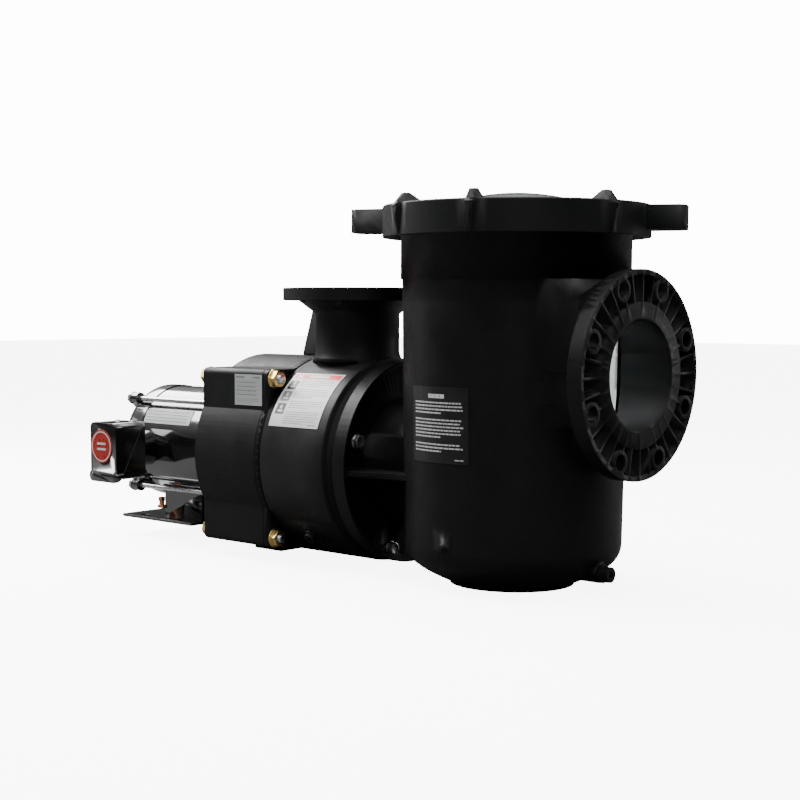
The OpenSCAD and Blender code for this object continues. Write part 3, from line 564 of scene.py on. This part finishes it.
def caution_label():
    """Black label on the pot: a heading, a rule and three paragraphs, all as plain bars."""
    low, high = size_of("caution_label")
    bottom, top = low[2], high[2]
    start, end = (math.radians(a) for a in CAUTION_ARC)
    radius = -low[1] - 0.5

    def wall(z):
        return radius - (top - z) * POT_DRAFT

    width, height = (end - start) * radius, top - bottom
    s = Sheet(on_cylinder_z(wall, start, bottom), width, height, 0.5, 30)
    s.ink(width * 0.36, height - 15, width * 0.64, height - 9.5, 1)
    for k in range(3):
        s.ink(width * (0.40 + 0.08 * k), height - 13.6, width * (0.41 + 0.08 * k), height - 10.9, 0, 1)
    blocks = [(height - 20, 4, 4.6, 2.0), (height - 43, 6, 4.6, 2.0), (height - 76, 3, 4.6, 2.0)]
    rows_of_text(s, blocks, width * 0.07, width * 0.93, 1, 11)
    s.lines(width * 0.80, 6, width * 0.93, 1, 4, 1.4, 1, 19, last=1.0)
    finish_mesh("caution_label_print", s.bm, [MATERIALS["label_black"], INK_WHITE], ROOT,
                ("caution_label",))


def warning_label():
    """White label on the drum: a red heading, three pictogram blocks and rows of bars."""
    low, high = size_of("warning_label")
    width = high[0] - low[0]
    start, end = (math.radians(a) for a in WARNING_ARC)
    height = (end - start) * DRUM_R
    s = Sheet(on_cylinder_x(DRUM_R, SHAFT_Z, low[0], start), width, height, 0.5, 30)
    s.ink(3, height - 13, width - 3, height - 3, 4)
    s.ink(34, height - 10.4, width - 26, height - 5.6, 0, 1)
    s.ink(10, height - 11, 19, height - 5, 0, 1)
    for k in range(3):
        v = height - 36 - 22 * k
        s.ink(5, v, 23, v + 18, 3 if k == 1 else 2)
        s.ink(9, v + 4, 19, v + 7, 0, 1)
        s.ink(12, v + 9, 16, v + 15, 0, 1)
    rows_of_text(s, [(height - 17, 4, 3.6, 1.3), (height - 35, 5, 3.6, 1.3), (height - 57, 4, 3.6, 1.3),
                     (height - 75, 6, 3.6, 1.3)], 27, width - 4, 3, 31)
    s.lines(width - 22, 5, width - 6, 1, 3, 1.3, 2, 37, last=1.0)
    finish_mesh("warning_label_print", s.bm,
                [MATERIALS["label_white"], INK_WHITE, INK_BLACK, INK_GREY, INK_RED], ROOT,
                ("warning_label",))


def rating_label():
    """Light grey label on the bracket: a heading, a table and rows of bars."""
    low, high = size_of("rating_label")
    width, height = high[0] - low[0], high[2] - low[2]
    s = Sheet(on_wall_y(low[0], low[2], high[1]), width, height, 0.5, 12)
    s.ink(3, height - 5.6, 22, height - 3, 1)
    s.ink(width - 20, height - 5.6, width - 4, height - 3, 1)
    for k in range(4):
        s.ink(3, height - 10 - 6.2 * k, width - 3, height - 9.6 - 6.2 * k, 1)
        s.lines(4, height - 11.5 - 6.2 * k, width - 5, 1, 3, 1.7, 1, 50 + k, (3, 7), 0.85)
    s.lines(4, 10, width - 5, 3, 2.8, 0.9, 1, 60, (2, 5), 0.7)
    finish_mesh("rating_label_print", s.bm, [MATERIALS["label_grey"], INK_GREY], ROOT,
                ("rating_label",))


def motor_nameplate():
    """Silver plate wrapped on the motor's shell, held by four rivets."""
    low, high = size_of("nameplate")
    width = high[0] - low[0]
    start, end = (math.radians(a) for a in NAMEPLATE_ARC)
    height = (end - start) * SHELL_R
    s = Sheet(on_cylinder_x(SHELL_R, SHAFT_Z, low[0], start), width, height, 0.8, 24)
    for k in range(4):
        v = height - 3.4 - 5.6 * k
        s.lines(3, v, width - 3, 1, 5, 2.1, 1, 70 + k, (3, 8), 0.95)
        s.ink(2, v - 3.6, width - 2, v - 3.3, 1)
    for u in (2.6, width - 2.6):
        for v in (2.6, height - 2.6):
            s.slab(u - 1.2, v - 1.2, u + 1.2, v + 1.2, 0.7, 1.4, 0)
    finish_mesh("nameplate_print", s.bm, [MATERIALS["plate_silver"], INK_GREY], ROOT,
                ("nameplate",))


def cover_emblem():
    """Plain red disc on the box cover with a pale rim and two pale bars."""
    low, high = size_of("cover_badge")
    radius = (high[0] - low[0]) / 2
    thick = high[1] - low[1]
    sunk = thick - 0.3
    rim_in, rim_out = radius - 4.6, radius - 2.6
    bar_length, bar_height, bar_gap = 22, 3.6, 9
    middle = Vector(((low[0] + high[0]) / 2, high[1], (low[2] + high[2]) / 2)) * MM
    place = along(middle, (0, -1, 0))
    bm = bmesh.new()
    face = thick - 0.1
    disc = [(radius - 0.2, 0), (radius, 0.2), (radius, sunk), (radius - 0.3, face), (radius - 1, face)]
    loft(bm, [ring_points(r * MM, h * MM, 96) for r, h in disc], place, 0)
    rim = [(rim_in, sunk), (rim_out, sunk), (rim_out, thick), (rim_in, thick)]
    lathe(bm, [(r * MM, h * MM) for r, h in rim], place, 96, 1)
    upright = Matrix.Translation(middle) @ Matrix.Rotation(math.pi / 2, 4, "X")
    half_u, half_v = bar_length / 2, bar_height / 2
    for v in (bar_gap / 2, -bar_gap / 2):
        corners = [(-half_u, v - half_v), (half_u, v - half_v), (half_u, v + half_v), (-half_u, v + half_v)]
        loft(bm, [[(x * MM, y * MM, h * MM) for x, y in corners] for h in (sunk, thick)], upright, 1)
    finish_mesh("cover_emblem", bm, [MATERIALS["badge_red"], INK_WHITE], ROOT,
                ("cover_badge",))


# --------------------------------------------------------------- fasteners

FLANGE_BOLT_PLACES = ((-115.4, 36.3), (-40.2, -127.8), (115.4, -36.3), (40.2, 127.8))   # y, z from the shaft


def flat_rings(profile, count):
    """Rings about Z from (radius, height) pairs in millimetres."""
    return [ring_points(r * MM, h * MM, count) for r, h in profile]


def along_x(y, z):
    """A placement whose Z runs along +X through y, z in millimetres."""
    return Matrix.Translation((0, y * MM, z * MM)) @ Matrix.Rotation(math.pi / 2, 4, "Y")


def bracket_fasteners():
    """Four threaded studs through the bracket, with a flanged nut at each end."""
    low, high = size_of("bracket_nuts")
    stud_low, stud_high = size_of("bracket_studs")
    nut_h, nut_across, stud_r, shank_r, pitch = 12, 23, 7, 6.6, 2
    washer_r, washer_h = 15, 3
    washer = (washer_r * MM, washer_h * MM)
    rear, front = low[0] + nut_h, high[0] - nut_h
    sides = (low[1] + washer_r, high[1] - washer_r)
    heights = (low[2] + washer_r, high[2] - washer_r)
    studs, front_nuts, rear_nuts = bmesh.new(), bmesh.new(), bmesh.new()
    for k, (y, z) in enumerate((y, z) for y in sides for z in heights):
        place = along_x(y, z)
        loft(studs, flat_rings([(shank_r, rear + 1), (shank_r, front - 1)], 24), place)
        threaded_rod(studs, stud_r * MM, stud_low[0] * MM, (rear + 1) * MM, pitch * MM, place)
        threaded_rod(studs, stud_r * MM, (front - 1) * MM, stud_high[0] * MM, pitch * MM, place)
        for nuts, x, axis in ((front_nuts, front, 1), (rear_nuts, rear, -1)):
            nut_place = along((x * MM, y * MM, z * MM), (axis, 0, 0), 0.35 + 1.1 * k)
            hex_nut(nuts, nut_across * MM, nut_h * MM, stud_r * MM, nut_place, 0, washer)
    finish_mesh("studs_threaded", studs, [MATERIALS["steel"]], ROOT, ("bracket_studs",), 50)
    zinc = MATERIALS["yellow_zinc"]
    finish_mesh("nuts_front", front_nuts, [zinc], ROOT, ("bracket_nuts",), 32)
    finish_mesh("nuts_rear", rear_nuts, [zinc], ROOT, (), 32)


def flange_bolts():
    """Hexagon bolts with washers that clamp the pot to the volute."""
    low, high = size_of("pot_flange_bolts")
    head_h, head_across, washer_h, bolt_r, pitch, shank = 7.5, 18, 2.4, 6, 1.75, 30
    washer = [(10.2, 0), (10.8, 0.3), (10.8, 2.1), (10.2, washer_h)]
    face_x = high[0] - head_h - washer_h
    bm = bmesh.new()
    for k, (y, dz) in enumerate(FLANGE_BOLT_PLACES):
        place = along((face_x * MM, y * MM, (SHAFT_Z + dz) * MM), (1, 0, 0), 0.3 + 0.9 * k)
        loft(bm, flat_rings(washer, 48), place)
        hex_head(bm, head_across * MM, head_h * MM, place @ Matrix.Translation((0, 0, washer_h * MM)))
        threaded_rod(bm, bolt_r * MM, -shank * MM, 0, pitch * MM, place)
    finish_mesh("flange_bolts_hex", bm, [MATERIALS["steel"]], ROOT, ("pot_flange_bolts",), 32)


def motor_fasteners():
    """Through bolts of the motor, with their nuts and threaded ends."""
    rods, nuts = bmesh.new(), bmesh.new()
    half, bolt_r, shank_r, pitch = 74, 4.5, 4.2, 1.25
    end, thread, face, tip = -765, -746, -752, -532
    nut_across, nut_h, washer = 17, 9, (11 * MM, 1.4 * MM)
    for y in (-half, half):
        for z in (SHAFT_Z - half, SHAFT_Z + half):
            place = along_x(y, z)
            loft(rods, flat_rings([(shank_r, thread - 1), (shank_r, tip - 1)], 20), place)
            threaded_rod(rods, bolt_r * MM, end * MM, thread * MM, pitch * MM, place)
            loft(rods, flat_rings([(bolt_r, tip - 2), (bolt_r, tip - 1), (3.8, tip)], 20), place)
            nut_place = along((face * MM, y * MM, z * MM), (-1, 0, 0), y * MM * 40)
            hex_nut(nuts, nut_across * MM, nut_h * MM, bolt_r * MM, nut_place, 0, washer)
    steel = [MATERIALS["steel"]]
    finish_mesh("through_bolts_threaded", rods, steel, ROOT, ("through_bolts",), 50)
    finish_mesh("through_bolt_nuts_hex", nuts, steel, ROOT, ("through_bolt_nuts",), 32)


# ----------------------------------------------------- carried-over nodes

for node in frame["nodes"]:
    frame["nodes"][node].data.materials.clear()
    frame["nodes"][node].data.materials.append(MATERIALS[NODE_SLOT[node]])

caution_label()
warning_label()
rating_label()
motor_nameplate()
cover_emblem()
bracket_fasteners()
flange_bolts()
motor_fasteners()
SMOOTHED = ("strainer_pot", "volute", "lock_ring", "lid", "basket", "basket_bail", "motor_bracket",
            "rear_end_bell", "front_end_bell", "motor_base", "conduit_box", "conduit_cover", "impeller",
            "lid_oring", "stator_windings")
for node in SMOOTHED:
    skin(node)


# ------------------------------------------------------------------- stage

def camera_or(tree, seen, otherwise):
    """One number for rays from the camera and another for every other ray."""
    path = tree.nodes.new("ShaderNodeLightPath")
    mix = tree.nodes.new("ShaderNodeMix")
    mix.data_type = "FLOAT"
    tree.links.new(path.outputs["Is Camera Ray"], mix.inputs[0])
    for socket, value in ((mix.inputs[2], otherwise), (mix.inputs[3], seen)):
        if isinstance(value, (int, float)):
            socket.default_value = value
        else:
            tree.links.new(value, socket)
    return mix.outputs[0]


def make_stage():
    """A pale floor. Its reflections in the pump are kept low, as on a small studio table."""
    floor = bmesh.new()
    bmesh.ops.create_grid(floor, x_segments=2, y_segments=2, size=14)
    mesh = bpy.data.meshes.new("floor")
    floor.to_mesh(mesh)
    floor.free()
    p = Paint("floor_paint", (0.82, 0.82, 0.82), 0.7, specular=0.1)
    shade = camera_or(p.tree, 0.86, FLOOR_BOUNCE)
    grey = p.add("ShaderNodeCombineColor")
    for socket in grey.inputs:
        p.link(shade, socket)
    p.link(grey.outputs["Color"], p.bsdf.inputs["Base Color"])
    p.set("Emission Color", (1, 1, 1, 1))
    p.link(camera_or(p.tree, FLOOR_GLOW, 0.0), p.bsdf.inputs["Emission Strength"])
    mesh.materials.append(p.material)
    floor = bpy.data.objects.new("floor", mesh)
    bpy.context.scene.collection.objects.link(floor)


def softbox(name, place, target, size, watts):
    data = bpy.data.lights.new(name, "AREA")
    data.shape = "RECTANGLE"
    data.size, data.size_y = size
    data.energy = watts
    lamp = bpy.data.objects.new(name, data)
    bpy.context.scene.collection.objects.link(lamp)
    lamp.location = place
    lamp.rotation_euler = (Vector(target) - Vector(place)).to_track_quat("-Z", "Y").to_euler()


SOFTBOXES = (                     # name, place, target, size in metres, watts
    ("overhead", (0, -0.25, 2.3), (0, 0, 0.3), (2.0, 1.8), 80),
    ("motor_top", (-1.85, -0.15, 1.55), (-0.62, 0, 0.2), (2.0, 1.0), 110),
    ("rim_left", (-2.7, -0.9, 0.6), (-0.2, 0, 0.25), (0.4, 1.0), 3),
    ("rim_right", (0.9, 2.4, 0.6), (-0.1, 0, 0.25), (0.4, 1.0), 5),
    ("front", (2.2, -2.6, 1.9), (-0.2, 0, 0.25), (1.2, 1.0), 18),
)


def make_lights():
    """A white backdrop, a dim surround at the height of the pump and a wide softbox overhead."""
    world = bpy.data.worlds.new("studio")
    bpy.context.scene.world = world
    world.use_nodes = True
    nodes, links = world.node_tree.nodes, world.node_tree.links
    background = nodes["Background"]
    coords = nodes.new("ShaderNodeTexCoord")
    split = nodes.new("ShaderNodeSeparateXYZ")
    links.new(coords.outputs["Generated"], split.inputs["Vector"])
    ramp = nodes.new("ShaderNodeMapRange")
    limits = {"From Min": 0.15, "From Max": 0.70, "To Min": SURROUND, "To Max": CEILING}
    for socket, number in limits.items():
        ramp.inputs[socket].default_value = number
    links.new(split.outputs["Z"], ramp.inputs["Value"])
    links.new(camera_or(world.node_tree, BACKDROP, ramp.outputs["Result"]), background.inputs["Strength"])
    background.inputs["Color"].default_value = (1, 1, 1, 1)
    for box in SOFTBOXES:
        softbox(*box)


make_stage()
make_lights()
make_camera()
